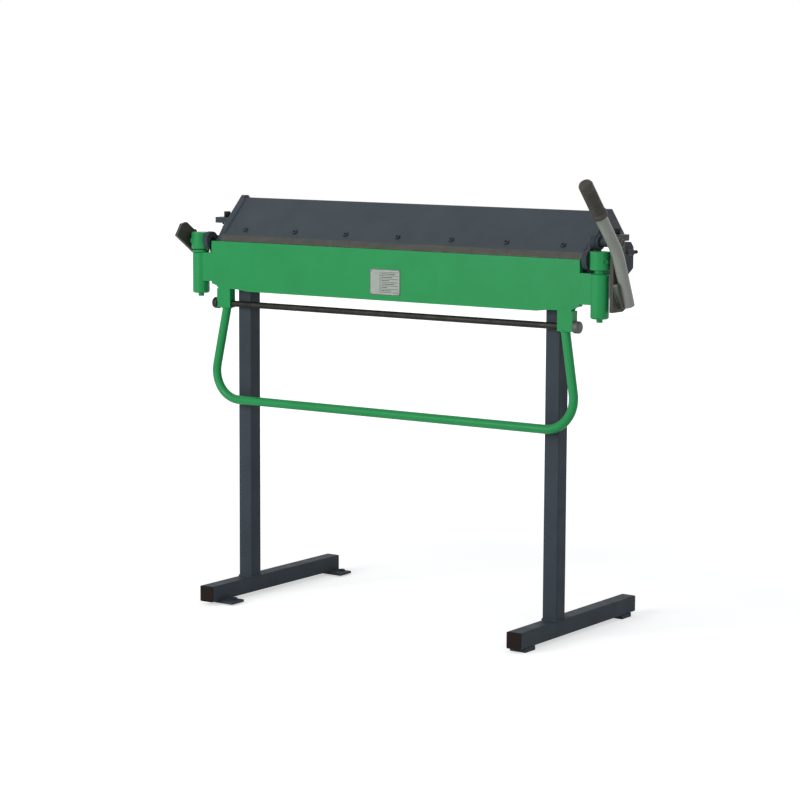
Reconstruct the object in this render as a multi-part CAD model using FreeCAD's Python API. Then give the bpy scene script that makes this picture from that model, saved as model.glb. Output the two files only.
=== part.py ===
import FreeCAD, Part
import math
import os

# A hand-operated sheet folding machine on a two-leg stand.
# X runs along the folding edge, with the clamping lever on the +X side. The operator stands on the -Y side,
# and Y is first counted from the front face of the hanging folding leaf.

# Driving dimensions of the stand, in mm
tube_width = 38.0
tube_wall = 3.0
column_inset = 73.0
column_front = 24.5
runner_front = -125.0
runner_back = 385.0
cap_thickness = 3.0
cap_insert = 12.0
cap_fit = 0.2
pad_thickness = 9.5
pad_inset = 19.5
pad_length = 41.0
pad_reach = 3.0
foot_lug_thickness = 6.0
foot_lug_length = 75.0
foot_lug_reach = 36.0
foot_lug_depth = 46.0
foot_lug_front = 29.0
foot_lug_behind = 4.0
level_bolt_radius = 4.0
level_bolt_inset = 20.0
level_bolt_edge = 12.0
level_head_radius = 7.0
level_head_height = 4.5
level_foot_radius = 9.0

# Driving dimensions of the folding line, the bed and the side plates
edge_height = 869.5
edge_length = 1022.0
edge_clearance = 0.6
edge_land = 3.0
edge_recess = 6.0
bed_depth = 135.0
bed_bar_depth = 60.0
bed_bar_height = 20.0
bed_plate_thickness = 10.0
bed_box_depth = 60.0
bed_box_height = 78.0
bed_box_wall = 6.0
head_plate_thickness = 6.0
side_plate_thickness = 12.0
side_plate_behind = 53.0
side_plate_rise = 32.0
side_plate_drop = 28.0
side_plate_corner = 12.0
shoulder_rise = 8.0
shoulder_back = 70.0
shoulder_run = 16.0
knuckle_radius = 22.0
knuckle_drop = 16.0
hinge_pin_radius = 10.0
hinge_pin_inset = 2.5

# Driving dimensions of the clamping beam
beam_rise = 107.0
beam_end_thickness = 12.0
beam_end_proud = 4.0
beam_end_flat = 12.0
beam_end_step = 33.0
beam_plate_thickness = 9.0
beam_plate_drop = 5.5
beam_back_depth = 170.0
beam_back_thickness = 6.0
beam_back_rise = 50.0
beam_floor = 24.0
beam_floor_run = 8.0
strip_height = 13.5
strip_depth = 34.0
strip_land = 1.0
lug_front = 82.0
lug_depth = 40.0
lug_thickness = 14.0
lug_height = 39.0
lug_margin = 9.0
seat_rise = 8.0
seat_thickness = 14.0
lift_bolt_radius = 5.0
lift_bolt_tail = 14.0
lift_head_radius = 8.0
lift_head_height = 12.0
spring_radius = 12.5
spring_wire = 1.5
spring_turns = 4
sleeve_radius = 8.0
sleeve_length = 30.0
sleeve_inset = 20.0
sleeve_rise = 9.0
sleeve_sunk = 1.0
screw_radius = 4.0
screw_front = 8.0
screw_back = 21.0

# Driving dimensions of the folding leaf
leaf_thickness = 14.0
leaf_depth = 118.0
leaf_end_rise = 4.0
leaf_taper_start = 112.0
leaf_taper_end = 76.0
leaf_corner_rise = 11.0
leaf_corner_step = 7.0
leaf_corner_run = 14.0
web_top_drop = 29.0
web_bottom_rise = 16.0
arm_inset = 36.5
arm_width = 40.0
arm_thickness = 20.0
arm_drop = 46.0
housing_radius = 20.5
housing_length = 100.0
housing_drop = 28.5
housing_chamfer = 3.0
spindle_radius = 13.0
stub_radius = 7.0
stub_drop = 8.0
eye_radius = 23.4
eye_rise = 19.5
eye_gap = 7.5
eye_rounding = 2.5
handle_radius = 10.6
handle_wall = 2.6
handle_drop = 222.0
handle_inset = 3.5
handle_angle = 10.5
handle_forward = 10.0
handle_bend = 70.0
rod_radius = 7.5
rod_drop = 150.0
knob_radius = 12.5
knob_length = 14.0
knob_rounding = 3.0
data_plate_width = 85.0
data_plate_height = 60.0
data_plate_thickness = 1.0
data_plate_rise = 13.0
data_plate_shift = -3.5

# Driving dimensions of the clamping lever and the stop bar
pivot_behind = 29.0
pivot_rise = 38.0
pivot_radius = 10.0
pivot_wall = 6.5
pivot_hub_length = 9.0
lever_plate_thickness = 9.0
lever_plate_drop = 151.0
lever_plate_width = 65.0
lever_plate_front = 36.0
lever_plate_shoulder = 12.5
lever_plate_end = 13.0
lever_plate_chamfer = 22.0
lever_plate_step = 9.0
lever_plate_back = 30.0
lever_tube_radius = 13.5
lever_tube_wall = 2.5
tube_foot_back = 10.0
tube_foot_drop = 137.0
tube_low_length = 130.0
tube_low_angle = 24.0
tube_high_length = 128.0
tube_high_angle = 43.0
tube_bend = 160.0
shoe_radius = 102.0
shoe_width = 12.0
shoe_thickness = 10.0
shoe_back = 68.5
shoe_drop = 66.0
shoe_first_angle = 195.0
shoe_last_angle = 226.0
grip_radius = 16.0
grip_length = 98.0
grip_overlap = 14.0
collar_proud = 2.0
collar_length = 9.0
rib_count = 12
rib_depth = 1.1
rib_inset = 3.0
plain_length = 24.0
tip_rounding = 7.0
stop_bar_width = 47.0
stop_bar_front = 52.5
stop_bar_back = 26.0
stop_bar_thickness = 8.0
stop_bar_angle = 146.0
stop_bar_chamfer = 13.0
stop_bar_shift = 2.0
stop_screw_radius = 6.0
stop_screw_height = 2.0
stop_screw_along = 2.0
stop_screw_edge = 4.0

# Running, seating and side clearances
seat_gap = 0.3
running_fit = 0.05
nose_setback = 5.0
beam_clearance = 5.0
leaf_clearance = 8.0
eye_clearance = 0.7
lever_clearance = 5.0
spring_clearance = 0.5

# Places along the folding edge, counted out from the middle
half_edge = edge_length / 2
beam_end_outer = half_edge + beam_end_thickness
side_inner = beam_end_outer + beam_clearance
side_outer = side_inner + side_plate_thickness
half_leaf = side_inner - leaf_clearance
eye_inner = side_outer + eye_clearance
housing_x = eye_inner + eye_radius
eye_outer = housing_x + eye_radius
lever_inner = eye_outer + lever_clearance
lever_outer = lever_inner + lever_plate_thickness
column_x = half_edge - column_inset
lug_x = side_outer + spring_clearance + spring_radius
lug_end = lug_x + spring_radius + lug_margin

# Places in depth and height that several pieces share
hinge_y = leaf_thickness
hinge_z = edge_height
pivot_y = hinge_y + pivot_behind
pivot_z = hinge_z + pivot_rise
bed_front = hinge_y + edge_clearance
bed_back = bed_front + bed_depth
bar_back = bed_front + bed_bar_depth
bar_bottom = edge_height - bed_bar_height
plate_bottom = edge_height - bed_plate_thickness
box_front = column_front
box_back = box_front + bed_box_depth
box_bottom = bar_bottom - bed_box_height
leaf_bottom = edge_height - leaf_depth
leaf_end_bottom = leaf_bottom + leaf_end_rise

os.makedirs("parts", exist_ok=True)

V = FreeCAD.Vector
X_AXIS = V(1, 0, 0)
Y_AXIS = V(0, 1, 0)
Z_AXIS = V(0, 0, 1)
pieces = {}


def block(x0, x1, y0, y1, z0, z1):
    return Part.makeBox(x1 - x0, y1 - y0, z1 - z0, V(x0, y0, z0))


def bar_x(radius, x0, x1, y, z):
    return Part.makeCylinder(radius, x1 - x0, V(x0, y, z), X_AXIS)


def bar_y(radius, y0, y1, x, z):
    return Part.makeCylinder(radius, y1 - y0, V(x, y0, z), Y_AXIS)


def bar_z(radius, z0, z1, x, y):
    return Part.makeCylinder(radius, z1 - z0, V(x, y, z0), Z_AXIS)


def side_outline(points, x0, x1):
    corners = [V(x0, y, z) for y, z in points]
    face = Part.Face(Part.makePolygon(corners + corners[:1]))
    return face.extrude(V(x1 - x0, 0, 0))


def front_outline(points, y0, y1):
    corners = [V(x, y0, z) for x, z in points]
    face = Part.Face(Part.makePolygon(corners + corners[:1]))
    return face.extrude(V(0, y1 - y0, 0))


def edges_along(shape, axis):
    found = []
    for edge in shape.Edges:
        if edge.Curve.TypeId == "Part::GeomLine":
            if abs(abs(edge.tangentAt(edge.FirstParameter).dot(axis)) - 1) < 1e-6:
                found.append(edge)
    return found


def round_edges(shape):
    return [edge for edge in shape.Edges if edge.Curve.TypeId == "Part::GeomCircle"]


def other_side(shape):
    return shape.mirror(V(0, 0, 0), X_AXIS)


def both_sides(name, shape):
    pieces[name + "_right"] = shape
    pieces[name + "_left"] = other_side(shape)


def pair(name, shape):
    pieces[name] = Part.makeCompound([shape, other_side(shape)])


def polar(length, degrees):
    return length * math.cos(math.radians(degrees)), length * math.sin(math.radians(degrees))


def rounded_path(points, radius):
    edges = []
    last = points[0]
    for before, at, after in zip(points, points[1:], points[2:]):
        into = (at - before).normalize()
        out = (after - at).normalize()
        turn = math.acos(into.dot(out))
        reach = radius * math.tan(turn / 2)
        start = at - into * reach
        end = at + out * reach
        bisector = (out - into).normalize()
        middle = at + bisector * (radius / math.cos(turn / 2) - radius)
        edges.append(Part.LineSegment(last, start).toShape())
        edges.append(Part.Arc(start, middle, end).toShape())
        last = end
    edges.append(Part.LineSegment(last, points[-1]).toShape())
    return edges


def sweep(edges, start, direction, radius):
    ring = Part.Wire(Part.makeCircle(radius, start, direction))
    return Part.Wire(edges).makePipeShell([ring], True, True)


# Stand: two runners of square tube with end caps, and a column on each
def square_tube(along, x0, x1, y0, y1, z0, z1):
    outer = block(x0, x1, y0, y1, z0, z1)
    outer = outer.makeFillet(tube_wall, edges_along(outer, along))
    sides = [0 if along.dot(axis) else tube_wall for axis in (X_AXIS, Y_AXIS, Z_AXIS)]
    return outer.cut(block(x0 + sides[0], x1 - sides[0], y0 + sides[1], y1 - sides[1],
                           z0 + sides[2], z1 - sides[2]))


half_tube = tube_width / 2
tube_inner = column_x - half_tube
tube_outer = column_x + half_tube
runner_top = pad_thickness + tube_width
both_sides("runner", square_tube(Y_AXIS, tube_inner, tube_outer, runner_front + cap_thickness,
                                 runner_back - cap_thickness, pad_thickness, runner_top))


def runner_cap(rim, insert):
    cap = block(tube_inner, tube_outer, rim, rim + cap_thickness, pad_thickness, runner_top)
    cap = cap.makeFillet(tube_wall, edges_along(cap, Y_AXIS))
    inset = tube_wall + cap_fit
    return cap.fuse(block(tube_inner + inset, tube_outer - inset, insert, insert + cap_insert,
                          pad_thickness + inset, runner_top - inset)).removeSplitter()


back_rim = runner_back - cap_thickness
both_sides("runner_caps", Part.makeCompound([
    runner_cap(runner_front, runner_front + cap_thickness), runner_cap(back_rim, back_rim - cap_insert)]))

# The right runner stands on two plain pads
pads = []
for pad_y in (runner_front + pad_inset, runner_back - pad_inset - pad_length):
    pads.append(block(tube_inner - pad_reach, tube_outer, pad_y, pad_y + pad_length, 0, pad_thickness))
pieces["foot_pads_right"] = Part.makeCompound(pads)

# The left runner rests on two lugs that reach inwards, each standing on a levelling bolt with a round foot
lug_low = pad_thickness - foot_lug_thickness
foot_lug_end = tube_inner - foot_lug_reach
level_x = foot_lug_end + level_bolt_inset
foot_lugs = []
level_bolts = []
for lug_y in (runner_front + foot_lug_front, runner_back + foot_lug_behind - foot_lug_depth):
    bolt_y = lug_y + foot_lug_depth - level_bolt_edge
    lug = block(foot_lug_end, foot_lug_end + foot_lug_length, lug_y, lug_y + foot_lug_depth,
                lug_low, pad_thickness)
    foot_lugs.append(lug.cut(bar_z(level_bolt_radius, lug_low, pad_thickness, level_x, bolt_y)))
    bolt = bar_z(level_foot_radius, 0, lug_low, level_x, bolt_y)
    bolt = bolt.fuse(bar_z(level_bolt_radius, lug_low, pad_thickness, level_x, bolt_y))
    head = bar_z(level_head_radius, pad_thickness, pad_thickness + level_head_height, level_x, bolt_y)
    head = head.makeChamfer(level_head_height / 3, [head.Edges[0]])
    level_bolts.append(bolt.fuse(head).removeSplitter())
pieces["foot_lugs_left"] = other_side(Part.makeCompound(foot_lugs))
pieces["levelling_bolts_left"] = other_side(Part.makeCompound(level_bolts))

# Columns of the same tube, from the runners to a head plate under the bed
column_top = box_bottom - head_plate_thickness
both_sides("column", square_tube(Z_AXIS, tube_inner, tube_outer, column_front, column_front + tube_width,
                                 runner_top, column_top))
pair("column_heads", block(column_x - tube_width, column_x + tube_width, box_front, box_back,
                           column_top, box_bottom))

# Bed: an edge bar on a box beam, with a table plate and a rear rail between the side plates
recess_y = bed_front + edge_recess
land_z = edge_height - edge_land
pieces["bed_edge_bar"] = side_outline([
    (bed_front, edge_height), (bed_front, land_z), (recess_y, land_z - edge_recess),
    (recess_y, bar_bottom), (bar_back, bar_bottom), (bar_back, edge_height)], -half_edge, half_edge)

pieces["bed_box_beam"] = block(-side_inner, side_inner, box_front, box_back, box_bottom, bar_bottom).cut(
    block(-side_inner, side_inner, box_front + bed_box_wall, box_back - bed_box_wall,
          box_bottom + bed_box_wall, bar_bottom - bed_box_wall))
pieces["bed_table_plate"] = block(-side_inner, side_inner, bar_back, bed_back, plate_bottom, edge_height)
pieces["bed_rear_rail"] = square_tube(X_AXIS, -side_inner, side_inner, bed_back - tube_width, bed_back,
                                      plate_bottom - tube_width, plate_bottom)

# Side plates: a gusset behind, and a round knuckle on the folding line in front
side_rear = bed_back + side_plate_behind
shoulder_y = side_rear - shoulder_back
shoulder_z = edge_height + shoulder_rise
side_top = edge_height + side_plate_rise


def side_plate(with_pivot):
    outline = side_outline([
        (hinge_y, hinge_z + knuckle_radius / 2), (hinge_y + knuckle_radius, shoulder_z),
        (shoulder_y - shoulder_run, shoulder_z), (shoulder_y, side_top),
        (side_rear - side_plate_corner, side_top), (side_rear, side_top - side_plate_corner),
        (side_rear, edge_height - side_plate_drop), (box_back, box_bottom), (box_front, box_bottom),
        (box_front, hinge_z - knuckle_radius - knuckle_drop), (hinge_y, hinge_z - knuckle_drop)],
        side_inner, side_outer)
    plate = outline.fuse(bar_x(knuckle_radius, side_inner, side_outer, hinge_y, hinge_z))
    if with_pivot:
        boss = pivot_radius + pivot_wall
        hub_end = side_outer + pivot_hub_length
        plate = plate.fuse(block(side_inner, side_outer, pivot_y, pivot_y + boss, hinge_z, pivot_z))
        plate = plate.fuse(bar_x(boss, side_inner, hub_end, pivot_y, pivot_z))
        plate = plate.cut(bar_x(pivot_radius + running_fit, side_inner, hub_end, pivot_y, pivot_z))
    plate = plate.removeSplitter()
    return plate.cut(bar_x(hinge_pin_radius, side_inner, side_outer, hinge_y, hinge_z))


pieces["side_plate_right"] = side_plate(True)
pieces["side_plate_left"] = other_side(side_plate(False))
pieces["hinge_pins"] = Part.makeCompound([
    bar_x(hinge_pin_radius, side_inner, eye_outer - hinge_pin_inset, hinge_y, hinge_z),
    bar_x(hinge_pin_radius, -lever_inner, -side_inner, hinge_y, hinge_z)])


# A flat stop bar sits on the end of the left hinge pin, tilted forwards and up
def along_bar(along, across):
    along_y, along_z = polar(along, stop_bar_angle)
    across_y, across_z = polar(across + stop_bar_shift, stop_bar_angle - 90)
    return hinge_y + along_y + across_y, hinge_z + along_z + across_z


half_bar = stop_bar_width / 2
stop_bar = side_outline([
    along_bar(-stop_bar_back, -half_bar), along_bar(stop_bar_front, -half_bar),
    along_bar(stop_bar_front, half_bar - stop_bar_chamfer),
    along_bar(stop_bar_front - stop_bar_chamfer, half_bar), along_bar(-stop_bar_back, half_bar)],
    -lever_inner - stop_bar_thickness, -lever_inner)
screw_y, screw_z = along_bar(stop_screw_along, half_bar - stop_screw_edge)
pieces["stop_bar_left"] = stop_bar.fuse(bar_x(
    stop_screw_radius, -lever_inner, stop_screw_height - lever_inner, screw_y, screw_z)).removeSplitter()

# Spring seats outside the side plates, and the threaded sleeves of the two rear adjusting screws
lug_back = lug_front + lug_depth
lug_middle = (lug_front + lug_back) / 2
seat_top = edge_height + seat_rise
seat_bottom = seat_top - seat_thickness
pair("spring_seats", block(side_outer, lug_end, lug_front, lug_back, seat_bottom, seat_top).cut(
    bar_z(lift_bolt_radius + running_fit, seat_bottom, seat_top, lug_x, lug_middle)))

sleeve_back = side_rear - sleeve_inset
sleeve_front = sleeve_back - sleeve_length
sleeve_x = side_outer + sleeve_radius - sleeve_sunk
sleeve_z = edge_height + sleeve_rise
sleeve = bar_y(sleeve_radius, sleeve_front, sleeve_back, sleeve_x, sleeve_z)
sleeve = sleeve.cut(block(side_inner, side_outer, sleeve_front, sleeve_back,
                          sleeve_z - sleeve_radius, sleeve_z + sleeve_radius))
pair("adjusting_sleeves", sleeve.cut(bar_y(screw_radius, sleeve_front, sleeve_back, sleeve_x, sleeve_z)))
pair("adjusting_screws", bar_y(screw_radius, sleeve_front - screw_front, sleeve_back + screw_back,
                               sleeve_x, sleeve_z))

# Clamping beam: a bevelled steel strip below a sloping front plate, between two end plates
strip_bottom = edge_height + seat_gap
strip_top = strip_bottom + strip_height
nose_y = hinge_y + nose_setback
slope_y = nose_y - strip_land
strip_back = nose_y + strip_depth
low_y = slope_y + strip_height
pieces["clamping_strip"] = side_outline([
    (nose_y, strip_bottom), (nose_y, strip_bottom + strip_land), (low_y, strip_top),
    (strip_back, strip_top), (strip_back, strip_bottom)], -half_edge, half_edge)

end_top = strip_bottom + beam_rise
top_z = end_top - beam_plate_drop
top_y = slope_y + top_z - strip_bottom
skew = beam_plate_thickness * math.sqrt(2)
pieces["beam_front_plate"] = side_outline([
    (low_y, strip_top), (top_y, top_z), (top_y + skew / 2, top_z - skew / 2), (low_y + skew, strip_top)],
    -half_edge, half_edge)

end_top_y = slope_y + beam_rise - beam_end_proud
flat_back = end_top_y + beam_end_flat
back_y = nose_y + beam_back_depth
back_z = strip_bottom + beam_back_rise
floor_z = strip_bottom + beam_floor
both_sides("beam_end", side_outline([
    (nose_y + strip_land, strip_bottom), (low_y + strip_land, strip_top),
    (slope_y + beam_end_step - beam_end_proud, strip_bottom + beam_end_step),
    (end_top_y, end_top), (flat_back, end_top), (back_y, back_z), (back_y, floor_z),
    (strip_back + beam_floor_run, floor_z), (strip_back, strip_top), (strip_back, strip_bottom)],
    half_edge, beam_end_outer))

# The back plate slopes down inside the end plates from the front plate's upper edge
inner_y = back_y - beam_end_proud
pieces["beam_back_plate"] = side_outline([
    (top_y, top_z), (flat_back - beam_end_proud, top_z), (inner_y, back_z - beam_end_proud),
    (inner_y, floor_z + beam_end_proud), (inner_y - beam_back_thickness, floor_z + beam_end_proud),
    (inner_y - beam_back_thickness, back_z - beam_back_thickness),
    (top_y + skew / 2, top_z - skew / 2)], -half_edge, half_edge)

# Lift lugs on the beam ends, with a headed bolt and a spring between each lug and its seat
lug_bottom = edge_height + lug_height
lug_top = lug_bottom + lug_thickness
pair("lift_lugs", block(beam_end_outer, lug_end, lug_front, lug_back, lug_bottom, lug_top).cut(
    bar_z(lift_bolt_radius, lug_bottom, lug_top, lug_x, lug_middle)))
head_top = lug_top + lift_head_height
socket_radius = lift_head_radius / 2
lift_bolt = bar_z(lift_bolt_radius, seat_bottom - lift_bolt_tail, lug_top, lug_x, lug_middle)
lift_bolt = lift_bolt.fuse(bar_z(lift_head_radius, lug_top, head_top, lug_x, lug_middle)).removeSplitter()
pair("lift_bolts", lift_bolt.cut(
    bar_z(socket_radius, head_top - socket_radius, head_top, lug_x, lug_middle)))

coil_radius = spring_radius - spring_wire
coil_rise = lug_bottom - seat_top - 2 * spring_wire
wire_section = Part.Wire(Part.makeCircle(spring_wire, V(coil_radius, 0, 0), Y_AXIS))
coil = Part.Wire(Part.makeHelix(coil_rise / spring_turns, coil_rise, coil_radius))
spring = coil.makePipeShell([wire_section], True, True)
pair("lift_springs", spring.translated(V(lug_x, lug_middle, seat_top + spring_wire)))

# Folding leaf: a flat plate hanging from the folding line, a little deeper along its middle
half_front = [(half_leaf, edge_height), (half_leaf, leaf_end_bottom + leaf_corner_rise),
              (half_leaf - leaf_corner_run, leaf_end_bottom + leaf_corner_step),
              (half_leaf - leaf_corner_run - leaf_corner_step, leaf_end_bottom),
              (half_leaf - leaf_taper_end, leaf_end_bottom), (half_leaf - leaf_taper_start, leaf_bottom)]
pieces["leaf_plate"] = front_outline(half_front + [(-x, z) for x, z in reversed(half_front)],
                                     0, leaf_thickness)

# Webs join the leaf to the pivot housings, whose spindles carry the eyes on the folding line
housing_top = edge_height - housing_drop
housing_bottom = housing_top - housing_length
housing = bar_z(housing_radius, housing_bottom, housing_top, housing_x, hinge_y)
web = block(half_leaf, housing_x, 0, leaf_thickness, leaf_end_bottom + web_bottom_rise,
            edge_height - web_top_drop)
both_sides("leaf_web", web.cut(housing))
housing = housing.makeChamfer(housing_chamfer, round_edges(housing))
both_sides("leaf_housing", housing.cut(
    bar_z(spindle_radius, housing_bottom, housing_top, housing_x, hinge_y)))

eye_top = hinge_z + eye_rise
eye = bar_z(eye_radius, housing_top + eye_gap, eye_top, housing_x, hinge_y)
eye = eye.makeFillet(eye_rounding, round_edges(eye))
eye = eye.fuse(bar_z(spindle_radius, housing_bottom, hinge_z, housing_x, hinge_y))
eye = eye.fuse(bar_z(stub_radius, housing_bottom - stub_drop, housing_bottom, housing_x, hinge_y))
both_sides("leaf_eye", eye.cut(
    bar_x(hinge_pin_radius + running_fit, eye_inner, eye_outer, hinge_y, hinge_z)).removeSplitter())

# Arms below the leaf hold a cross rod with a round knob at each end
arm_x = half_leaf - arm_inset
arm_bottom = leaf_end_bottom - arm_drop
arm_inner = arm_x - arm_width / 2
arm_outer = arm_x + arm_width / 2
rod_y = arm_thickness / 2
rod_z = edge_height - rod_drop
both_sides("leaf_arm", block(arm_inner, arm_outer, 0, arm_thickness, arm_bottom, leaf_end_bottom).cut(
    bar_x(rod_radius, arm_inner, arm_outer, rod_y, rod_z)))
knob = bar_x(knob_radius, arm_outer, arm_outer + knob_length, rod_y, rod_z)
knob = knob.makeFillet(knob_rounding, round_edges(knob))
rod = bar_x(rod_radius, -arm_outer, arm_outer, rod_y, rod_z)
pieces["cross_rod"] = rod.fuse(knob).fuse(other_side(knob)).removeSplitter()

# The handle is one round tube bent into a wide U, with its ends cut square under the arms
handle_x = arm_x - handle_inset
handle_z = arm_bottom - handle_drop
low_x = handle_x + handle_drop * math.tan(math.radians(handle_angle))
top = V(handle_x, rod_y, arm_bottom)
low = V(low_x, rod_y - handle_forward, handle_z)
down = (low - top).normalize()
top = top - down * handle_radius
route = [top, low, V(-low.x, low.y, low.z), V(-top.x, top.y, top.z)]
bends = rounded_path(route, handle_bend)
handle = sweep(bends, top, down, handle_radius).cut(sweep(bends, top, down, handle_radius - handle_wall))
above = block(-half_leaf, half_leaf, -arm_width, arm_width, arm_bottom, edge_height)
pieces["leaf_handle"] = handle.cut(above)

plate_z = leaf_bottom + data_plate_rise
plate_x = data_plate_shift - data_plate_width / 2
pieces["data_plate"] = block(plate_x, plate_x + data_plate_width, -data_plate_thickness, 0,
                             plate_z, plate_z + data_plate_height)

# Clamping lever: a flat plate on a stub shaft through the right side plate, slanting back to its round end
plate_front = pivot_y - lever_plate_front
plate_low = pivot_z - lever_plate_drop
plate_back = plate_front + lever_plate_width
slant = math.atan2(lever_plate_shoulder, lever_plate_front) + math.asin(
    lever_plate_end / math.hypot(lever_plate_front, lever_plate_shoulder))
lever_plate = side_outline([
    (pivot_y - lever_plate_end * math.sin(slant), pivot_z + lever_plate_end * math.cos(slant)),
    (plate_front, pivot_z - lever_plate_shoulder), (plate_front, plate_low),
    (plate_back - lever_plate_chamfer, plate_low), (plate_back, plate_low + lever_plate_step),
    (plate_back, plate_low + lever_plate_back), (pivot_y + lever_plate_end, pivot_z)],
    lever_inner, lever_outer)
lever_plate = lever_plate.fuse(bar_x(lever_plate_end, lever_inner, lever_outer, pivot_y, pivot_z))
pieces["lever_plate"] = lever_plate.removeSplitter()
pieces["lever_shaft"] = bar_x(pivot_radius, side_inner, lever_inner, pivot_y, pivot_z)

# The lever tube is bent once, above its lower end that is welded to the plate's outer face
tube_x = lever_outer + lever_tube_radius
low_rise, low_run = polar(tube_low_length, tube_low_angle)
high_rise, high_run = polar(tube_high_length, tube_high_angle)
foot = V(tube_x, pivot_y + tube_foot_back, pivot_z - tube_foot_drop)
elbow = foot + V(0, -low_run, low_rise)
crown = elbow + V(0, -high_run, high_rise)
tube_line = rounded_path([foot, elbow, crown], tube_bend)
tube_solid = sweep(tube_line, foot, elbow - foot, lever_tube_radius)
pieces["lever_tube"] = tube_solid.cut(
    sweep(tube_line, foot, elbow - foot, lever_tube_radius - lever_tube_wall))

# A short curved shoe is welded on the plate in front of the tube's foot
shoe_y = pivot_y + shoe_back
shoe_z = pivot_z - shoe_drop
shoe_outer = lever_outer + shoe_thickness
shoe = bar_x(shoe_radius + shoe_width / 2, lever_outer, shoe_outer, shoe_y, shoe_z)
shoe = shoe.cut(bar_x(shoe_radius - shoe_width / 2, lever_outer, shoe_outer, shoe_y, shoe_z))
first_y, first_z = polar(2 * shoe_radius, shoe_first_angle)
last_y, last_z = polar(2 * shoe_radius, shoe_last_angle)
shoe = shoe.common(side_outline([
    (shoe_y, shoe_z), (shoe_y + first_y, shoe_z + first_z), (shoe_y + last_y, shoe_z + last_z)],
    lever_outer, shoe_outer))
round_y, round_z = polar(shoe_radius, shoe_first_angle)
shoe = shoe.fuse(bar_x(shoe_width / 2, lever_outer, shoe_outer, shoe_y + round_y, shoe_z + round_z))
pieces["lever_shoe"] = shoe.removeSplitter().cut(tube_solid)

# The grip is a moulded sleeve with a collar, a row of ribs and a plain rounded end
lean = (crown - elbow).normalize()
tip_corner = tip_rounding / 3
collar_radius = grip_radius + collar_proud
profile = [(lever_tube_radius, 0), (collar_radius, 0), (collar_radius, collar_length),
           (grip_radius, collar_length + collar_proud)]
rib_pitch = (grip_length - collar_length - plain_length) / rib_count
rib_slope = rib_depth / 2
for k in range(rib_count):
    rib_end = collar_length + rib_inset + (k + 1) * rib_pitch
    groove = rib_end - rib_pitch / 2
    profile += [(grip_radius, groove), (grip_radius - rib_depth, groove + rib_slope),
                (grip_radius - rib_depth, rib_end - rib_slope), (grip_radius, rib_end)]
profile += [(grip_radius, grip_length - tip_rounding), (grip_radius - tip_corner, grip_length - tip_corner),
            (grip_radius - tip_rounding, grip_length), (0, grip_length), (0, grip_overlap),
            (lever_tube_radius, grip_overlap)]
corners = [V(r, 0, z) for r, z in profile]
grip = Part.Face(Part.makePolygon(corners + corners[:1])).revolve(V(0, 0, 0), Z_AXIS, 360)
grip.Placement = FreeCAD.Placement(crown - lean * grip_overlap, FreeCAD.Rotation(Z_AXIS, lean))
pieces["lever_grip"] = grip

# The origin is put at the middle of the machine's outline on the floor
whole = Part.makeCompound(list(pieces.values())).optimalBoundingBox(True, False)
origin = V((whole.XMin + whole.XMax) / 2, (whole.YMin + whole.YMax) / 2, 0)
for name, shape in sorted(pieces.items()):
    shape.translated(-origin).exportStep("parts/%s.step" % name)

print("origin", origin)
print("size", whole.XLength, whole.YLength, whole.ZLength, whole.ZMin)
print("hinge axis", (V(0, hinge_y, hinge_z) - origin) * 0.001)
print("lever axis", (V(0, pivot_y, pivot_z) - origin) * 0.001)
print("pieces", len(pieces), "volume", sum(s.Volume for s in pieces.values()) / 1e6)
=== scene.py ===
import math

import bpy
from mathutils import Matrix, Vector


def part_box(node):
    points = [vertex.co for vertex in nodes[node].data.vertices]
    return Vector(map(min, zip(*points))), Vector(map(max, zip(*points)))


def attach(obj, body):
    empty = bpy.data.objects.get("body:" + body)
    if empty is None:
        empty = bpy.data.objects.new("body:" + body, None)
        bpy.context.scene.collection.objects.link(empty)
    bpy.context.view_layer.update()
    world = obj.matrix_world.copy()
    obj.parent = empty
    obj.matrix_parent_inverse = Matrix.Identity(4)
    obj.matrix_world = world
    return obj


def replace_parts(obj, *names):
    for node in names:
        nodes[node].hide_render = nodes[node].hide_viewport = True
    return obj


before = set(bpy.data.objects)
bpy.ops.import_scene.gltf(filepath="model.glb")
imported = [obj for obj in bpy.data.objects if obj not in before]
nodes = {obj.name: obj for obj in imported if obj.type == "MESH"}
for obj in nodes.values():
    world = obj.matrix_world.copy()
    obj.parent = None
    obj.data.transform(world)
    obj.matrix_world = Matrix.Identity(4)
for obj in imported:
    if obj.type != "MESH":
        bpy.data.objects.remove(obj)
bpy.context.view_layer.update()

# Studio: a white floor that keeps the machine's soft shadow. A broad lamp stands to the operator's left, a
# weak one hangs above and another stands in front of the lever's end. The camera stands to the operator's
# right, a little above the machine.


def linear(code):
    """The linear colour of an sRGB hex value."""
    channels = [int(code[i:i + 2], 16) / 255 for i in (1, 3, 5)]
    return [c / 12.92 if c <= 0.04045 else ((c + 0.055) / 1.055) ** 2.4 for c in channels] + [1.0]


def add(material, kind, settings=None, links=None):
    """Adds one node, with inputs or options set by name or number, and outputs of other nodes joined to it.
    A colour Mix takes its factor and two colours as inputs 0, 6 and 7, and gives output 2."""
    made = material.node_tree.nodes.new(kind)
    for name, value in (settings or {}).items():
        if isinstance(name, int) or name in made.inputs:
            made.inputs[name].default_value = value
        else:
            setattr(made, name, value)
    for name, source in (links or {}).items():
        material.node_tree.links.new(source, made.inputs[name])
    return made


def bare_material(name):
    """A material with an empty node tree."""
    material = bpy.data.materials.new(name)
    material.use_nodes = True
    material.node_tree.nodes.clear()
    return material


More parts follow.
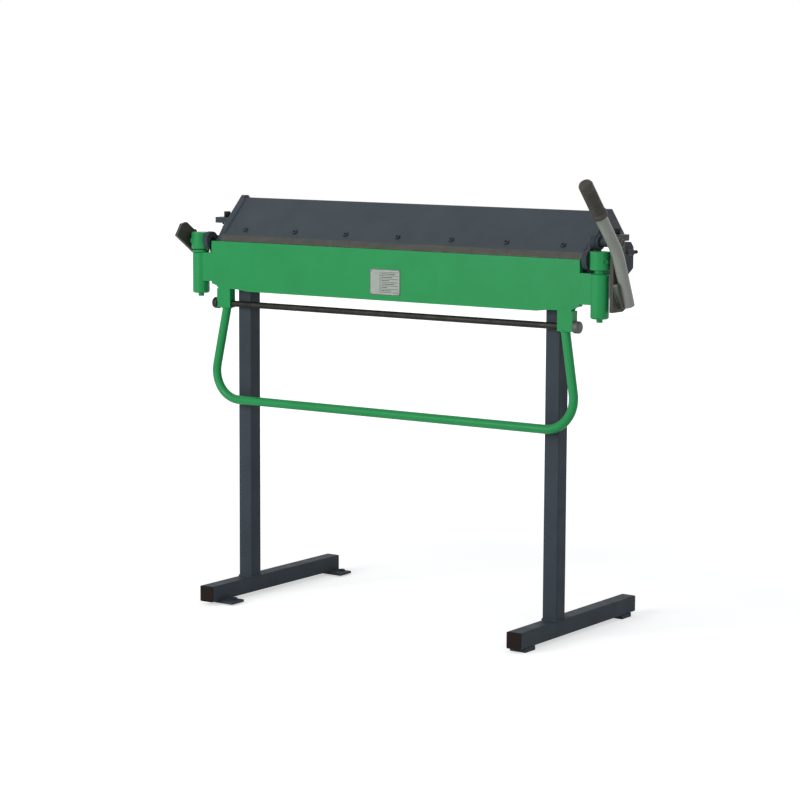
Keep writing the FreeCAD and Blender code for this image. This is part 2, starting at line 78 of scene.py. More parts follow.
# Matt white lacquer that glows a little for the camera and in reflections. The glow grows from 0.9 to 2.8 m
# off the middle, so that the floor ends in plain white and the shadow near the runners stays.
floor_half = 14.0
glow_start, glow_end = 0.9, 2.8
glow_near, glow_far = 0.56, 0.92
floor_white = bare_material("matt_white_floor")
floor_seen = add(floor_white, "ShaderNodeLightPath")
floor_shown = add(floor_white, "ShaderNodeMath", {"operation": "MAXIMUM"}, {
    0: floor_seen.outputs["Is Camera Ray"], 1: floor_seen.outputs["Is Glossy Ray"]})
floor_reach = add(floor_white, "ShaderNodeVectorMath", {"operation": "LENGTH"}, {
    0: add(floor_white, "ShaderNodeTexCoord").outputs["Object"]})
floor_far = add(floor_white, "ShaderNodeMapRange", {
    "From Min": glow_start, "From Max": glow_end, "To Min": glow_near, "To Max": glow_far}, {
    "Value": floor_reach.outputs["Value"]})
floor_glow = add(floor_white, "ShaderNodeMath", {"operation": "MULTIPLY"}, {
    0: floor_shown.outputs[0], 1: floor_far.outputs[0]})
floor_coat = add(floor_white, "ShaderNodeBsdfDiffuse", {"Color": linear("#f2f2f0")})
floor_light = add(floor_white, "ShaderNodeEmission", {"Color": linear("#ffffff")}, {
    "Strength": floor_glow.outputs[0]})
floor_sum = add(floor_white, "ShaderNodeAddShader", links={
    0: floor_coat.outputs[0], 1: floor_light.outputs[0]})
add(floor_white, "ShaderNodeOutputMaterial", links={"Surface": floor_sum.outputs[0]})
floor_mesh = bpy.data.meshes.new("studio_floor")
floor_mesh.from_pydata([(-floor_half, -floor_half, 0), (floor_half, -floor_half, 0),
                        (floor_half, floor_half, 0), (-floor_half, floor_half, 0)], [], [(0, 1, 2, 3)])
floor_mesh.materials.append(floor_white)
studio_floor = bpy.data.objects.new("studio_floor", floor_mesh)
bpy.context.collection.objects.link(studio_floor)

# The room is a weak cool white for the machine, and plain white wherever it is seen or mirrored
room_light, room_white = 0.33, 1.0
world = bpy.data.worlds.new("soft_studio")
bpy.context.scene.world = world
world.use_nodes = True
world.node_tree.nodes.clear()
sky_seen = add(world, "ShaderNodeLightPath")
sky_camera = add(world, "ShaderNodeMath", {"operation": "MAXIMUM"}, {
    0: sky_seen.outputs["Is Camera Ray"], 1: sky_seen.outputs["Is Glossy Ray"]})
sky_shown = add(world, "ShaderNodeMath", {"operation": "MAXIMUM"}, {
    0: sky_camera.outputs[0], 1: sky_seen.outputs["Is Transmission Ray"]})
sky_soft = add(world, "ShaderNodeBackground", {"Color": linear("#f6f9ff"), "Strength": room_light})
sky_white = add(world, "ShaderNodeBackground", {"Color": linear("#ffffff"), "Strength": room_white})
sky_mix = add(world, "ShaderNodeMixShader", links={
    0: sky_shown.outputs[0], 1: sky_soft.outputs[0], 2: sky_white.outputs[0]})
add(world, "ShaderNodeOutputWorld", links={"Surface": sky_mix.outputs[0]})

lamp_aim = Vector((0, 0, 0.6))
for lamp_name, lamp_at, lamp_size, lamp_power in (
        ("broad_front", (-1.7, -5.0, 2.3), 2.8, 146.0),
        ("soft_top", (0.4, 0.2, 4.4), 3.2, 14.0),
        ("lever_side", (3.5, -3.7, 1.9), 2.0, 29.0)):
    lamp = bpy.data.lights.new(lamp_name, "AREA")
    lamp.shape = "SQUARE"
    lamp.size = lamp_size
    lamp.energy = lamp_power
    lamp_object = bpy.data.objects.new(lamp_name, lamp)
    lamp_object.location = lamp_at
    lamp_object.rotation_mode = "QUATERNION"
    lamp_object.rotation_quaternion = (lamp_aim - Vector(lamp_at)).to_track_quat("-Z", "Y")
    bpy.context.collection.objects.link(lamp_object)

camera = bpy.data.cameras.new("studio_camera")
camera.sensor_width = 36.0
camera.lens = 110.42
camera.shift_x = -0.0908
camera.clip_end = 60.0
camera_object = bpy.data.objects.new("studio_camera", camera)
camera_place = (3.26365, -4.74407, 1.2339)
camera_right = Vector((0.83523, 0.54984, 0.00862))
camera_up = Vector((-0.07568, 0.09942, 0.99216))
camera_turn = Matrix((camera_right, camera_up, camera_right.cross(camera_up))).transposed().to_4x4()
camera_object.matrix_world = Matrix.Translation(camera_place) @ camera_turn
bpy.context.collection.objects.link(camera_object)
bpy.context.scene.camera = camera_object
bpy.context.scene.view_settings.view_transform = "Standard"

# Stand: two runners and two columns of cold-formed square steel tube, with a flat plate on each column under
# the bed. The joints are arc welded, and the whole stand then gets one coat of dark grey stoved enamel.


def stoved_enamel(name, colour, shade, rim, roughness, ior=1.3):
    """Sprayed and baked enamel on welded steel. It gives the eye an even semi-matt tone with a faint cloud,
    the dimples of sprayed paint, duller handled places, and lighter edges, partly paint worn thin there and
    partly a painted highlight."""
    coat = bare_material(name)
    place = add(coat, "ShaderNodeTexCoord").outputs["Object"]
    # The cloud in the tone is about 110 mm across
    cloud = add(coat, "ShaderNodeTexNoise", {"Scale": 1000 / 110, "Detail": 4.0, "Roughness": 0.6}, {
        "Vector": place})
    tone = add(coat, "ShaderNodeValToRGB", links={"Fac": cloud.outputs[0]})
    tone.color_ramp.elements[0].position = 0.32
    tone.color_ramp.elements[0].color = linear(shade)
    tone.color_ramp.elements[1].position = 0.68
    tone.color_ramp.elements[1].color = linear(colour)
    # Within about 1.2 mm of an edge the tone turns towards the rim colour, unevenly in patches of about 8
    # mm:
    # partly paint drawn back from the edge, partly a painted highlight along it
    soft = add(coat, "ShaderNodeBevel", {"samples": 6, "Radius": 0.0012})
    turn = add(coat, "ShaderNodeVectorMath", {"operation": "DOT_PRODUCT"}, {
        0: add(coat, "ShaderNodeNewGeometry").outputs["Normal"], 1: soft.outputs[0]})
    edge = add(coat, "ShaderNodeMapRange", {"From Min": 0.985, "From Max": 0.86, "To Max": 0.75}, {
        "Value": turn.outputs["Value"]})
    patch = add(coat, "ShaderNodeTexNoise", {"Scale": 1000 / 8, "Detail": 2.0}, {"Vector": place})
    thin_and_lit_edge = add(coat, "ShaderNodeMath", {"operation": "MULTIPLY"}, {0: edge.outputs[0], 1: patch.outputs[0]})
    tone_with_lit_edges = add(coat, "ShaderNodeMix", {"data_type": "RGBA", 7: linear(rim)}, {
        0: thin_and_lit_edge.outputs[0], 6: tone.outputs[0]})
    # Handled and dusty places are about 45 mm across
    scuff = add(coat, "ShaderNodeTexNoise", {"Scale": 1000 / 45, "Detail": 5.0}, {"Vector": place})
    gloss = add(coat, "ShaderNodeMapRange", {
        "From Min": 0.35, "From Max": 0.65, "To Min": roughness - 0.05, "To Max": roughness + 0.07}, {
        "Value": scuff.outputs[0]})
    # Spray dimples are 1 to 2 mm apart, drawn at 3 mm so that they show
    peel = add(coat, "ShaderNodeTexNoise", {"Scale": 1000 / 3, "Detail": 1.0}, {"Vector": place})
    bump = add(coat, "ShaderNodeBump", {"Strength": 0.06, "Distance": 0.0004}, {
        "Height": peel.outputs[0], "Normal": soft.outputs[0]})
    shader = add(coat, "ShaderNodeBsdfPrincipled", {"IOR": ior}, {
        "Base Color": tone_with_lit_edges.outputs[2], "Roughness": gloss.outputs[0], "Normal": bump.outputs[0]})
    add(coat, "ShaderNodeOutputMaterial", links={"Surface": shader.outputs[0]})
    return coat


def dress(material, slot, *names):
    """Gives CAD nodes their finish. The slot of the record is not used."""
    for name in names:
        nodes[name].data.materials.clear()
        nodes[name].data.materials.append(material)


leaf_low, leaf_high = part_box("leaf_plate")
edge_middle = (leaf_low.x + leaf_high.x) / 2
leaf_face = leaf_low.y


def spot(x, y, z):
    """A place on the machine in mm: along the folding edge from its middle, back from the leaf's face, and
    up from the floor."""
    return Vector((edge_middle + x / 1000, leaf_face + y / 1000, z / 1000))


def bead(route, width, closed=False):
    """Rings of a weld bead along a line of places: a rounded ridge, rippled every 3 mm where the melt froze,
    that narrows at its open ends."""
    ripple, ripple_depth, end_share, sides = 3, 0.11, 0.4, 8
    rings = []
    last = turn = None
    run = 0
    stops = route + route[:1] if closed else route
    for start, end in zip(stops, stops[1:]):
        way = (end - start).normalized()
        turn = last.rotation_difference(way) @ turn if turn else way.to_track_quat("Z", "Y")
        last = way
        steps = max(2, round((end - start).length * 1000))
        for k in range(steps + 1):
            at_end = not closed and (not rings or (end is stops[-1] and k == steps))
            radius = width / 2000 * (1 + ripple_depth * math.cos(2 * math.pi * (run + k) / ripple))
            radius *= end_share if at_end else 1.0
            rings.append([start + (end - start) * k / steps + turn @ Vector(
                (radius * math.cos(angle), radius * math.sin(angle), 0))
                for angle in (2 * math.pi * j / sides for j in range(sides))])
        run += steps
    return rings


def piece(name, shells, material, body):
    """One finished piece of closed shells, each given as rings of points, riding on a body."""
    points, faces = [], []
    for rings in shells:
        base, count = len(points), len(rings[0])
        last = base + count * (len(rings) - 1)
        faces.append(tuple(reversed(range(base, base + count))))
        for first in range(base, last, count):
            for k in range(count):
                beside = first + (k + 1) % count
                faces.append((first + k, beside, beside + count, first + k + count))
        faces.append(tuple(range(last, last + count)))
        points += [point for ring in rings for point in ring]
    mesh = bpy.data.meshes.new(name)
    mesh.from_pydata(points, [], faces)
    mesh.shade_smooth()
    mesh.set_sharp_from_angle(angle=math.radians(35))
    mesh.materials.append(material)
    made = bpy.data.objects.new(name, mesh)
    bpy.context.collection.objects.link(made)
    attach(made, body)
    return made


stand_enamel = stoved_enamel("dark_grey_stoved_enamel", "#3e464d", "#384047", "#5f6770", 0.56, ior=1.2)
dress(stand_enamel, "frame_grey", "runner_left", "runner_right", "column_left", "column_right",
      "column_heads")

# Beads run round both ends of each column, and along the front and back edges of its head plate
column_x, column_y = 438, 43.5
tube_half, tube_flat = 19, 16.5
column_foot, column_head = 48, 765
head_half, head_front, head_back, head_top = 35, 24.5, 84.5, 771.5


def column_ring(side, z):
    """A level line round a column, cut across the rounded corners of its tube."""
    return [spot(side * (column_x + x), column_y + y, z) for x, y in (
        (-tube_flat, -tube_half), (tube_flat, -tube_half), (tube_half, -tube_flat), (tube_half, tube_flat),
        (tube_flat, tube_half), (-tube_flat, tube_half), (-tube_half, tube_flat), (-tube_half, -tube_flat))]


stand_welds = []
for side in (-1, 1):
    stand_welds += [bead(column_ring(side, column_foot), width=6.0, closed=True),
                    bead(column_ring(side, column_head), width=5.5, closed=True)]
    stand_welds += [bead([spot(side * (column_x - head_half), y, head_top),
                          spot(side * (column_x + head_half), y, head_top)], width=4.5)
                    for y in (head_front, head_back)]
piece("stand_welds", stand_welds, stand_enamel, "frame")

# Runner end plugs: ribbed plugs of black polyethylene, moulded, pushed into the open ends of the runners so
# that only the thin square rim with its rounded corners shows.
plug_plastic = bare_material("black_moulded_polyethylene")
plug_place = add(plug_plastic, "ShaderNodeTexCoord").outputs["Object"]
# Moulded plastic gives a dull, slightly waxy skin, with a grain of about 1 mm, drawn at 2 mm so that it
# shows, and a cloud of about 15 mm in its tone
plug_grain = add(plug_plastic, "ShaderNodeTexNoise", {"Scale": 1000 / 2, "Detail": 2.0}, {
    "Vector": plug_place})
plug_cloud = add(plug_plastic, "ShaderNodeTexNoise", {"Scale": 1000 / 15, "Detail": 3.0}, {
    "Vector": plug_place})
plug_tone = add(plug_plastic, "ShaderNodeValToRGB", links={"Fac": plug_cloud.outputs[0]})
plug_tone.color_ramp.elements[0].color = linear("#160f0a")
plug_tone.color_ramp.elements[1].color = linear("#1f1712")
plug_soft = add(plug_plastic, "ShaderNodeBevel", {"samples": 6, "Radius": 0.0015})
plug_bump = add(plug_plastic, "ShaderNodeBump", {"Strength": 0.2, "Distance": 0.0003}, {
    "Height": plug_grain.outputs[0], "Normal": plug_soft.outputs[0]})
plug_shader = add(plug_plastic, "ShaderNodeBsdfPrincipled", {"Roughness": 0.62, "IOR": 1.22}, {
    "Base Color": plug_tone.outputs[0], "Normal": plug_bump.outputs[0]})
add(plug_plastic, "ShaderNodeOutputMaterial", links={"Surface": plug_shader.outputs[0]})
dress(plug_plastic, "black_plastic", "runner_caps_left", "runner_caps_right")

# Feet: two flat pads welded under the right runner, and under the left one two lugs of flat bar that reach
# inwards. Each lug has a hexagon bolt with a round foot to level the machine, enamelled over with the stand.


def seam(x, start, end, width):
    """A straight bead in an upright plane across the machine, between two places given by their y and z."""
    return bead([spot(x, *start), spot(x, *end)], width)


def turned(profile, at, along, sides=32):
    """Rings of a turned part, from its radii and its distances in mm along an axis. A third number is the
    width across flats of a hexagon that cuts that ring."""
    turn = along.to_track_quat("Z", "Y").to_matrix()
    corner, half_flat = math.pi / 3, math.pi / 6
    rings = []
    for radius, reach, *flats in profile:
        ring = []
        for k in range(sides):
            angle = 2 * math.pi * k / sides
            cut = flats[0] / 2 / math.cos((angle + half_flat) % corner - half_flat) if flats else radius
            size = min(radius, cut)
            ring.append(at + turn @ Vector((size * math.cos(angle), size * math.sin(angle), reach)) / 1000)
        rings.append(ring)
    return rings


up = Vector((0, 0, 1))
dress(stand_enamel, "frame_grey", "foot_pads_right", "foot_lugs_left")
# Lugs and pads are welded along the runners' sides, 3 mm short of their own ends
runner_outer, runner_inner, runner_under = 457.5, 418.5, 9.5
lug_fronts, lug_depth = (-96, 343), 46
pad_fronts, pad_length = (-105.5, 324.5), 41
weld_short = 3
foot_welds = []
for front in lug_fronts:
    foot_welds += [seam(-x, (front + weld_short, runner_under),
                        (front + lug_depth - weld_short, runner_under), width=4.5)
                   for x in (runner_outer, runner_inner)]
for front in pad_fronts:
    foot_welds.append(seam(runner_inner, (front + weld_short, runner_under),
                           (front + pad_length - weld_short, runner_under), width=4.0))
piece("foot_welds", foot_welds, stand_enamel, "frame")

# Radii and heights of the round foot, the shank and the head, which is 13 mm across its flats
level_bolt_x, level_bolt_edge, level_flats = -403, 12, 13
level_foot = [(8.2, 0), (9, 0.8), (9, 2.6), (8.4, 3.4), (4, 3.5)]
level_shank = [(3.9, 3), (3.9, 10)]
level_head = [(6.4, 9.5), (7.0, 9.7, level_flats), (7.5, 10.1, level_flats), (7.5, 12.9, level_flats),
              (7.1, 13.5, level_flats), (6.4, 13.9, level_flats), (5.6, 14.0)]
levelling_bolts = []
for front in lug_fronts:
    bolt_at = spot(level_bolt_x, front + lug_depth - level_bolt_edge, 0)
    levelling_bolts += [turned(level_foot, bolt_at, up), turned(level_shank, bolt_at, up),
                        turned(level_head, bolt_at, up, sides=48)]
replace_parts(piece("levelling_bolts", levelling_bolts, stand_enamel, "frame"),
            "levelling_bolts_left")

# Bed: a box beam of welded plate on the columns, with a table plate and a square tube behind it, enamelled
# like the stand. Along the front lies the edge bar that the sheet is folded over, of ground tool steel.
dress(stand_enamel, "frame_grey", "bed_box_beam", "bed_table_plate", "bed_rear_rail")


def steel(name, bright, dark, roughness, marks, bump, metallic=1.0):
    """Worked steel. It gives the eye a sheen broken by fine marks, whose lengths along X, Y and Z in mm are
    given, with stains and softened edges. Under a skin of oxide or grime it isn't metallic."""
    metal = bare_material(name)
    place = add(metal, "ShaderNodeTexCoord").outputs["Object"]
    scaled = add(metal, "ShaderNodeMapping", {"Scale": [1000 / length for length in marks]}, {
        "Vector": place})
    grain = add(metal, "ShaderNodeTexNoise", {"Scale": 1.0, "Detail": 4.0, "Roughness": 0.65}, {
        "Vector": scaled.outputs[0]})
    # Stains are about 30 mm across, and take a little less than half of the tone
    stain = add(metal, "ShaderNodeTexNoise", {"Scale": 1000 / 30, "Detail": 5.0}, {"Vector": place})
    stained = add(metal, "ShaderNodeMath", {"operation": "MULTIPLY", 1: 0.45}, {0: stain.outputs[0]})
    mixed = add(metal, "ShaderNodeMath", {"operation": "MULTIPLY_ADD", 1: 0.55}, {
        0: grain.outputs[0], 2: stained.outputs[0]})
    tone = add(metal, "ShaderNodeValToRGB", links={"Fac": mixed.outputs[0]})
    tone.color_ramp.elements[0].position = 0.35
    tone.color_ramp.elements[0].color = linear(dark)
    tone.color_ramp.elements[1].position = 0.65
    tone.color_ramp.elements[1].color = linear(bright)
    gloss = add(metal, "ShaderNodeMapRange", {
        "From Min": 0.35, "From Max": 0.65, "To Min": roughness + 0.06, "To Max": roughness - 0.06}, {
        "Value": stain.outputs[0]})
    soft = add(metal, "ShaderNodeBevel", {"samples": 6, "Radius": 0.0008})
    dents = add(metal, "ShaderNodeBump", {"Strength": bump, "Distance": 0.0003}, {
        "Height": grain.outputs[0], "Normal": soft.outputs[0]})
    shader = add(metal, "ShaderNodeBsdfPrincipled", {"Metallic": metallic}, {
        "Base Color": tone.outputs[0], "Roughness": gloss.outputs[0], "Normal": dents.outputs[0]})
    add(metal, "ShaderNodeOutputMaterial", links={"Surface": shader.outputs[0]})
    return metal


# Surface grinding leaves marks along the bar, finer than a millimetre, drawn at 1 mm; a film of oil dulls it
tool_steel = steel("ground_oiled_tool_steel", "#585953", "#484944", 0.4, (90, 1, 1), 0.08)
dress(tool_steel, "tool_steel", "bed_edge_bar")
# Beads run behind the edge bar and along the box's back edge, and join the box and the rear rail to the
# inner faces of the side plates
bed_half, bar_back, box_back, box_top, box_under = 508, 74.9, 84.8, 849.2, 771.4
plate_inner, rail_under, rail_back = 527.6, 821.4, 149.8
box_joints = (((box_back, 774), (box_back, 848)), ((26, box_under), (82, box_under)))
rail_joints = (((113, rail_under), (148, rail_under)), ((rail_back, 823), (rail_back, 858)))
bed_welds = [bead([spot(-bed_half, y, box_top), spot(bed_half, y, box_top)], width=4.5)
             for y in (bar_back, box_back)]
for side in (-1, 1):
    bed_welds += [seam(side * plate_inner, start, end, width=5.0)
                  for start, end in box_joints + rail_joints]
piece("bed_welds", bed_welds, stand_enamel, "frame")

# Side plates: flame-cut plate 12 mm thick with a round knuckle at the folding line, welded to the ends of
# the bed. The right one has an ear with a round hub for the clamping lever's shaft.
dress(stand_enamel, "frame_grey", "side_plate_left", "side_plate_right")


def ring_across(x, y, z, radius, count=24):
    """A round line in an upright plane across the machine."""
    return [spot(x, y + radius * math.cos(a), z + radius * math.sin(a))
            for a in (2 * math.pi * k / count for k in range(count))]


shaft_y, shaft_z = 43, 907.5
hub_face, hub_radius = 540.4, 16.7
hub_ring = ring_across(hub_face, shaft_y, shaft_z, hub_radius, count=32)
piece("hub_weld", [bead(hub_ring, width=3.6, closed=True)], stand_enamel, "frame")

# Hinge pins and stop bar: ground pins pressed into the side plates, and on the end of the left one a flat
# bar of hot-rolled steel with its mill skin, welded round the pin.
pin_steel = steel("ground_pin_steel", "#5a5b57", "#3e3f3b", 0.36, (1, 12, 12), 0.1)
dress(pin_steel, "fasteners", "hinge_pins")
# The mill skin of rolled flat bar is a dull brown black, with faint streaks along the rolling
mill_steel = steel("hot_rolled_mill_skin", "#3d3c35", "#2d2c26", 0.5, (9, 5, 5), 0.25, metallic=0.0)
dress(mill_steel, "blackened_steel", "stop_bar_left")
fold_y, fold_z = 14, 869.5
pin_end, pin_radius = -599.6, 10
pin_ring = ring_across(pin_end, fold_y, fold_z, pin_radius)
piece("stop_bar_weld", [bead(pin_ring, width=3.4, closed=True)], mill_steel, "frame")

# Spring seats and adjusting screws: short blocks and threaded sleeves welded outside the side plates, and in
# each sleeve a blackened screw with a lock nut at its front end.
dress(stand_enamel, "frame_grey", "spring_seats", "adjusting_sleeves")


def thread(radius, pitch, start, end, at, along):
    """Rings of a screw thread: ridges that climb one pitch a turn, sunk into the shank at both ends."""
    ridge, groove, sides = 0.25, 0.35, 24
    turn = along.to_track_quat("Z", "Y").to_matrix()
    rings = []
    for k in range(round(2 * (end - start) / pitch)):
        size = radius + ridge if k % 2 else radius - groove
        rings.append([at + turn @ Vector((size * math.cos(angle), size * math.sin(angle),
                                          start + pitch * (k / 2 + angle / (2 * math.pi)))) / 1000
                      for angle in (2 * math.pi * j / sides for j in range(sides))])
    return rings


# Blackened screws look almost black and a little oily, with a fine mottle of about 2 mm
bolt_black = steel("blackened_bolt_steel", "#32342f", "#20221e", 0.42, (2, 2, 2), 0.15)
dress(bolt_black, "fasteners", "adjusting_screws")
backwards = Vector((0, 1, 0))
seat_face, seat_front, seat_back, seat_under, seat_top = 540.2, 84, 120, 863.2, 877.8
sleeve_face, sleeve_front, sleeve_back, sleeve_half = 540.4, 155, 180, 7.1
screw_x, screw_z, screw_radius, screw_pitch, screw_flats = 547, 878.5, 4, 1.25, 13
screw_thread_front, screw_thread_back = 183.4, 201.4
screw_tail = [(3.6, 203.2), (4.1, 203.5), (3.6, 204.4), (2.2, 204.8)]
lock_nut = [(6.4, 147.0), (7.0, 147.2, screw_flats), (7.5, 147.6, screw_flats), (7.5, 151.2, screw_flats),
            (7.0, 151.7, screw_flats), (6.4, 152.1)]
seat_welds, screw_details = [], []
for side in (-1, 1):
    seat_welds += [seam(side * seat_face, (seat_front, z), (seat_back, z), width=4.5)
                   for z in (seat_under, seat_top)]
    seat_welds += [seam(side * sleeve_face, (sleeve_front, z), (sleeve_back, z), width=4.5)
                   for z in (screw_z + sleeve_half, screw_z - sleeve_half)]
    screw_at = spot(side * screw_x, 0, screw_z)
    screw_details += [thread(screw_radius, screw_pitch, screw_thread_front, screw_thread_back,
                             screw_at, backwards),
                      turned(screw_tail, screw_at, backwards),
                      turned(lock_nut, screw_at, backwards, sides=48)]
piece("seat_welds", seat_welds, stand_enamel, "frame")
piece("adjusting_screw_details", screw_details, bolt_black, "frame")

# Folding leaf: thick flat plate, with a web at each end and, on it, the housing of a turned spindle whose
# drum sits on the hinge pin. It is welded steel with a coat of green stoved enamel.
leaf_enamel = stoved_enamel("green_stoved_enamel", "#1f9451", "#1c8d4b", "#57b97c", 0.35)
dress(leaf_enamel, "leaf_green", "leaf_plate", "leaf_web_left", "leaf_web_right", "leaf_housing_left",
      "leaf_housing_right", "leaf_eye_left", "leaf_eye_right", "leaf_arm_left", "leaf_arm_right")
# Beads run between web and housing in front, between leaf and web behind, and between leaf and arm behind
web_low, web_high, web_front, housing_joint, leaf_end = 773, 839, 0.6, 549.3, 520
arm_inner, arm_outer, arm_back, arm_top = 466, 501, 14.4, 755.2
leaf_welds = []
for side in (-1, 1):
    leaf_welds += [seam(side * housing_joint, (web_front, web_low), (web_front, web_high), width=3.6),
                   seam(side * leaf_end, (fold_y, web_low), (fold_y, web_high), width=5.0),
                   bead([spot(side * arm_inner, arm_back, arm_top),
                         spot(side * arm_outer, arm_back, arm_top)], width=6.0)]
piece("leaf_welds", leaf_welds, leaf_enamel, "folding_leaf")
# A set screw with a hexagon socket stands in a low boss on each drum, turned 55 degrees outwards
drum_x, drum_radius, drum_screw_z = 564.1, 23.4, 868
drum_screw_angle = math.radians(55)
boss_shape = [(6.8, -2), (6.8, 0.9), (6.1, 1.7), (4.6, 1.7), (4.2, 1.2), (4.2, 0.2)]
set_screw_shape = [(4.0, -0.2), (4.0, 0.8), (3.6, 1.2), (2.6, 1.2), (2.4, 1.0, 4), (2.4, -0.1, 4)]
drum_bosses, drum_screws = [], []
for side in (-1, 1):
    drum_out = Vector((side * math.sin(drum_screw_angle), -math.cos(drum_screw_angle), 0))
    drum_face = spot(side * drum_x, fold_y, drum_screw_z) + drum_out * drum_radius / 1000
    drum_bosses.append(turned(boss_shape, drum_face, drum_out))
    drum_screws.append(turned(set_screw_shape, drum_face, drum_out, sides=48))
piece("drum_screw_bosses", drum_bosses, leaf_enamel, "folding_leaf")
piece("drum_set_screws", drum_screws, leaf_enamel, "folding_leaf")
# The right drum's bore is closed by a domed plug, and the left spindle has a collar under its drum
plug_face, collar_under = 585, 841
bore_plug = turned([(9.5, 0.1), (9.5, 0.4), (7.5, 1.2), (4.5, 1.9), (1.5, 2.2)],
                   spot(plug_face, fold_y, fold_z), Vector((1, 0, 0)))
piece("drum_bore_plug", [bore_plug], leaf_enamel, "folding_leaf")
collar = turned([(19.6, -0.4), (20.4, 0.3), (20.4, 4.4), (19.6, 5.2), (13, 5.2)],
                spot(-drum_x, fold_y, collar_under), up, sides=64)
piece("spindle_collar", [collar], leaf_enamel, "folding_leaf")

# Handle and cross rod: a wide U of bent steel tube, enamelled with the leaf and welded under its arms, and
# above it a round bar through both arms with a turned knob at each end, left as drawn steel.
dress(leaf_enamel, "leaf_green", "leaf_handle")
handle_x, handle_y, handle_top = 480, 10, 709.2
weld_half_width, weld_half_depth, weld_steps = 10.9, 10.7, 24
handle_welds = []
for side in (-1, 1):
    handle_ring = [spot(side * (handle_x + weld_half_width * math.cos(a)),
                        handle_y + weld_half_depth * math.sin(a), handle_top)
                   for a in (2 * math.pi * k / weld_steps for k in range(weld_steps))]
    handle_welds.append(bead(handle_ring, width=4.0, closed=True))
piece("handle_welds", handle_welds, leaf_enamel, "folding_leaf")
# Drawn bar is smooth and darkened by handling, with fine rings left by the die, drawn at 1.5 mm
rod_steel = steel("handled_drawn_bar", "#373733", "#262624", 0.48, (1.5, 8, 8), 0.12)
dress(rod_steel, "blackened_steel", "cross_rod")
# The right knob is given a lighter grey, dull turned skin as painted light from the right, and the left one
# keeps the dark bar's finish
right_knob_lit_steel = steel("lit_grey_turned_steel", "#545753", "#464945", 0.5, (1, 5, 5), 0.1, metallic=0.0)
knob_shape = [(12.6, -14.3), (13.4, -14), (13.8, -13.2), (13.8, -2.6), (12.9, -0.7), (11, 0.4), (9, 0.5)]
rod_low, rod_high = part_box("cross_rod")
rod_y, rod_z = (rod_low.y + rod_high.y) / 2, (rod_low.z + rod_high.z) / 2
for name, end_x, side, skin in (("rod_knob_left", rod_low.x, -1, rod_steel),
                                ("rod_knob_right", rod_high.x, 1, right_knob_lit_steel)):
    knob = turned(knob_shape, Vector((end_x, rod_y, rod_z)), Vector((side, 0, 0)), sides=48)
    piece(name, [knob], skin, "folding_leaf")

# Data plate: a thin sheet of satin anodised aluminium held by four rivets, with plain printed rules and bars
# and no words. Its brushed face gives the eye fine level streaks, drawn at 1 mm.
plate_metal = steel("satin_anodised_aluminium", "#848a84", "#797f79", 0.48, (14, 1, 1), 0.06)
dress(plate_metal, "plate_silver", "data_plate")
plate_face, rivet_columns, rivet_rows = -1, (-42.5, 35.5), (768, 821)
rivet_shape = [(2.0, -0.3), (2.0, 0.2), (1.6, 0.8), (0.8, 1.1)]
rivets = [turned(rivet_shape, spot(x, plate_face, z), Vector((0, -1, 0)), sides=20)
          for x in rivet_columns for z in rivet_rows]
piece("data_plate_rivets", rivets, plate_metal, "folding_leaf")
# Screen ink is a flat dark grey, a few hundredths of a millimetre thick, mottled about every 4 mm
rule_ink = bare_material("dark_grey_screen_ink")
ink_place = add(rule_ink, "ShaderNodeTexCoord").outputs["Object"]
ink_cloud = add(rule_ink, "ShaderNodeTexNoise", {"Scale": 1000 / 4, "Detail": 2.0}, {"Vector": ink_place})
ink_tone = add(rule_ink, "ShaderNodeValToRGB", links={"Fac": ink_cloud.outputs[0]})
ink_tone.color_ramp.elements[0].color = linear("#262b27")
ink_tone.color_ramp.elements[1].color = linear("#323833")
ink_shader = add(rule_ink, "ShaderNodeBsdfPrincipled", {"Roughness": 0.6, "IOR": 1.4}, {
    "Base Color": ink_tone.outputs[0]})
add(rule_ink, "ShaderNodeOutputMaterial", links={"Surface": ink_shader.outputs[0]})


def printed_bar(x0, x1, z0, z1):
    """Rings of a printed bar that stands a little proud of the data plate's face."""
    ink_back, ink_front = -0.98, -1.06
    return [[spot(x, y, z) for x, z in ((x0, z0), (x0, z1), (x1, z1), (x1, z0))]
            for y in (ink_back, ink_front)]


# A border, an upright rule, and level rules with a plain bar in each space between them
border_left, border_right, border_low, border_high, line = -45.6, 38.6, 765, 824, 1
rule_left, rule_right, rule_low, rule_step, rule_height = -17, 34, 770.5, 7.8, 0.9
bar_left, bar_ends, bar_low, bar_high = -13, (14, 3, 21, 9, 17, 26), 3.6, 5.2
rule_top = rule_low + rule_step * len(bar_ends) + rule_height
printed = [printed_bar(border_left, border_left + line, border_low, border_high),
           printed_bar(border_left + line, border_right - line, border_high - line, border_high),
           printed_bar(border_left + line, border_right - line, border_low, border_low + line),
           printed_bar(border_right - line, border_right, border_low, border_high),
           printed_bar(rule_left - line, rule_left, rule_low, rule_top)]
for row in range(len(bar_ends) + 1):
    rule_z = rule_low + row * rule_step
    printed.append(printed_bar(rule_left, rule_right, rule_z, rule_z + rule_height))
    if row < len(bar_ends):
        printed.append(printed_bar(bar_left, bar_ends[row], rule_z + bar_low, rule_z + bar_high))
piece("data_plate_rules", printed, rule_ink, "folding_leaf")

# Clamping beam: two end plates with a sloping front plate and a back plate between them, welded inside and
# enamelled in a slightly lighter grey. Seven socket screws through the front plate hold the clamping strip.
beam_enamel = stoved_enamel("grey_stoved_enamel", "#3f474e", "#394148", "#5e666d", 0.5)
dress(beam_enamel, "beam_grey", "beam_front_plate", "beam_end_left", "beam_end_right", "beam_back_plate")
